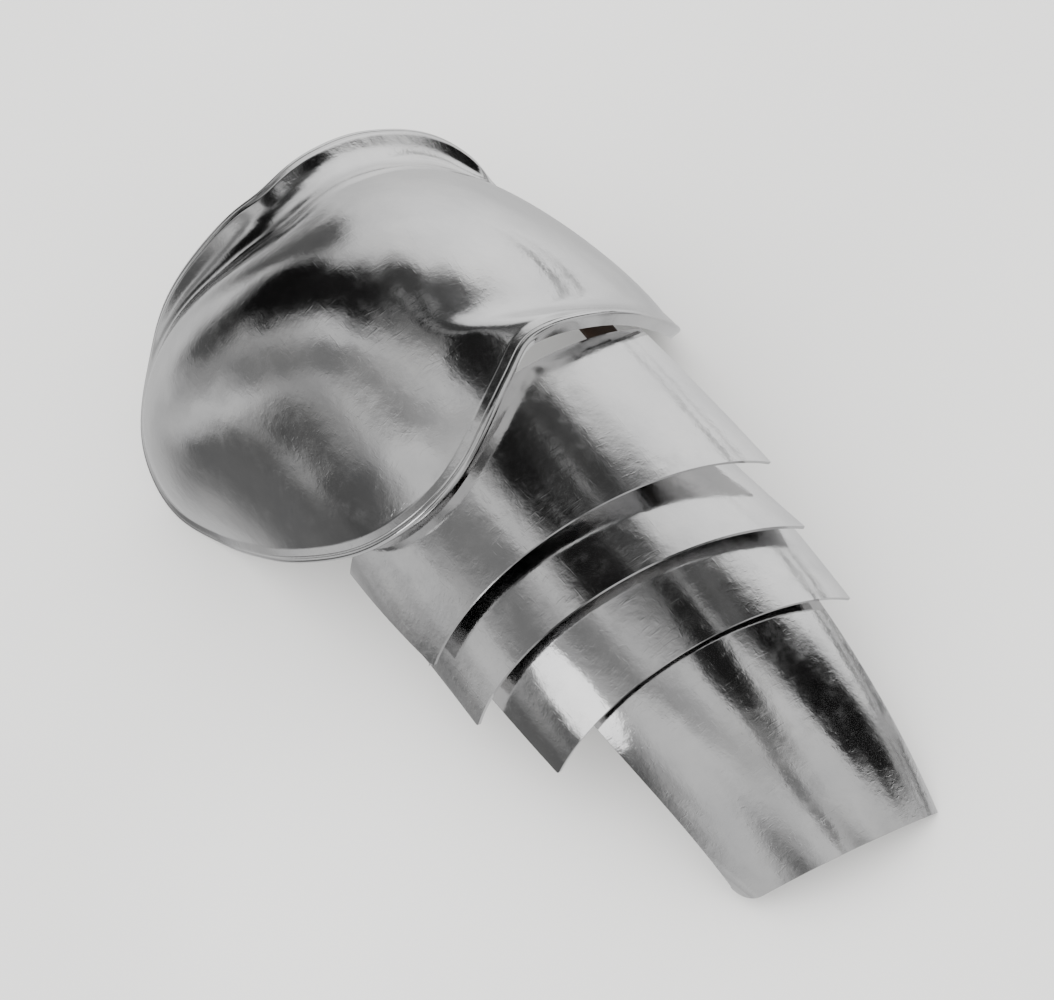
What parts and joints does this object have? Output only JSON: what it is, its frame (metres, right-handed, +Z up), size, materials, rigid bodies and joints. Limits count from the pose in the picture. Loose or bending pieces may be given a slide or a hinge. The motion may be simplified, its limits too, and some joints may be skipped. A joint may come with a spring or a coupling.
{
  "type": "left pauldron of polished plate armour",
  "caption": "Polished steel shoulder defence: a domed plate with a round front wing and an upturned neck flange, above overlapping arm lames carried on leathers inside.",
  "frame": {"origin": "middle of the base of the box round the piece as it lies hollow side down on a level surface", "axes": "+X from the neck towards the elbow, +Y towards the wearer's back, +Z up from the surface it lies on"},
  "size_m": [0.3778, 0.217, 0.1283],
  "materials": {
    "polished_steel": "mirror-polished steel with faint scratches and smudges",
    "rivet_steel": "hammered rivet heads, satin",
    "leather": "oiled brown harness leather"
  },
  "bodies": {
    "root": {"shoulder_plate": "polished_steel", "lame_1": "polished_steel", "lame_2": "polished_steel", "lame_3": "polished_steel", "lame_4": "polished_steel", "rivet_front_1": "rivet_steel", "rivet_front_2": "rivet_steel", "rivet_front_3": "rivet_steel", "rivet_front_4": "rivet_steel", "rivet_front_5": "rivet_steel", "rivet_back_1": "rivet_steel", "rivet_back_2": "rivet_steel", "rivet_back_3": "rivet_steel", "rivet_back_4": "rivet_steel", "rivet_back_5": "rivet_steel", "leather_front": "leather", "leather_back": "leather"}
  },
  "joints": []
}
